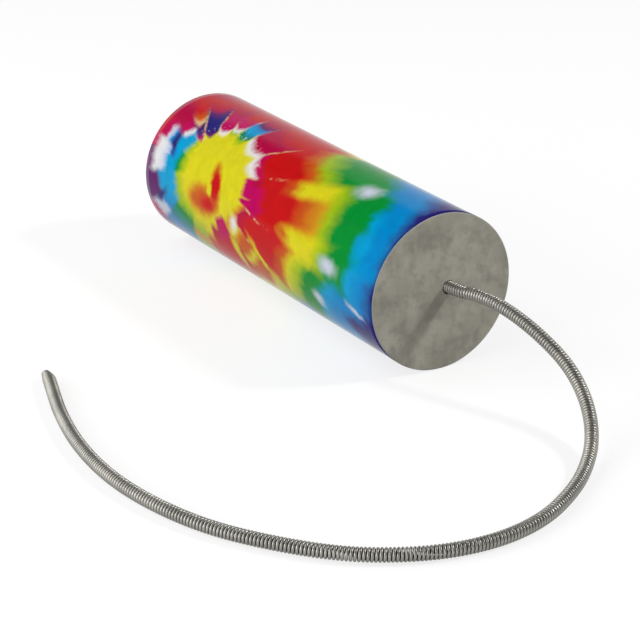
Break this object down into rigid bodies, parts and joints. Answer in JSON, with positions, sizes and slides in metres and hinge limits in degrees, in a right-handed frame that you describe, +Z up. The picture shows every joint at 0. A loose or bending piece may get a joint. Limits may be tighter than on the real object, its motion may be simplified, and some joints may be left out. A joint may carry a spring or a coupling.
{
  "type": "thunder tube",
  "caption": "Hand-held spring drum: a tie-dye printed cardboard tube, open at one end, with a film drumhead on the other and a long wound steel spring hanging from its middle.",
  "frame": {"origin": "under the middle of the tube, on the surface it lies on", "axes": "+X along the tube towards the drumhead, +Z up"},
  "size_m": [0.3078, 0.1872, 0.0635],
  "materials": {
    "cardboard": "plain grey-brown board",
    "print": "glossy laminated tie-dye print",
    "head_film": "mottled warm grey film, satin",
    "glue": "dried amber glue",
    "washer": "black fibre",
    "spring_steel": "bright drawn steel wire"
  },
  "bodies": {
    "tube": {"tube_core": "cardboard", "printed_wrap": "print", "head_glue_ring": "glue", "drum_head": "head_film", "anchor_washer": "washer", "glue_bead": "glue", "spring_anchor": "spring_steel"},
    "root": {"spring_root": "spring_steel"},
    "tail": {"spring_tail": "spring_steel"}
  },
  "joints": [
    {"name": "spring_twist", "type": "hinge", "parent": "tube", "child": "root", "pos_m": [0.09005, 0.00295, 0.03326], "axis": [-1, 0, 0], "range_deg": [0, 150], "stiffness_Nm_per_rad": 0.02},
    {"name": "spring_swing", "type": "hinge", "parent": "root", "child": "tail", "pos_m": [0.10891, 0.00766, 0.03364], "axis": [0, 0, 1], "range_deg": [-35, 60], "stiffness_Nm_per_rad": 0.02}
  ]
}
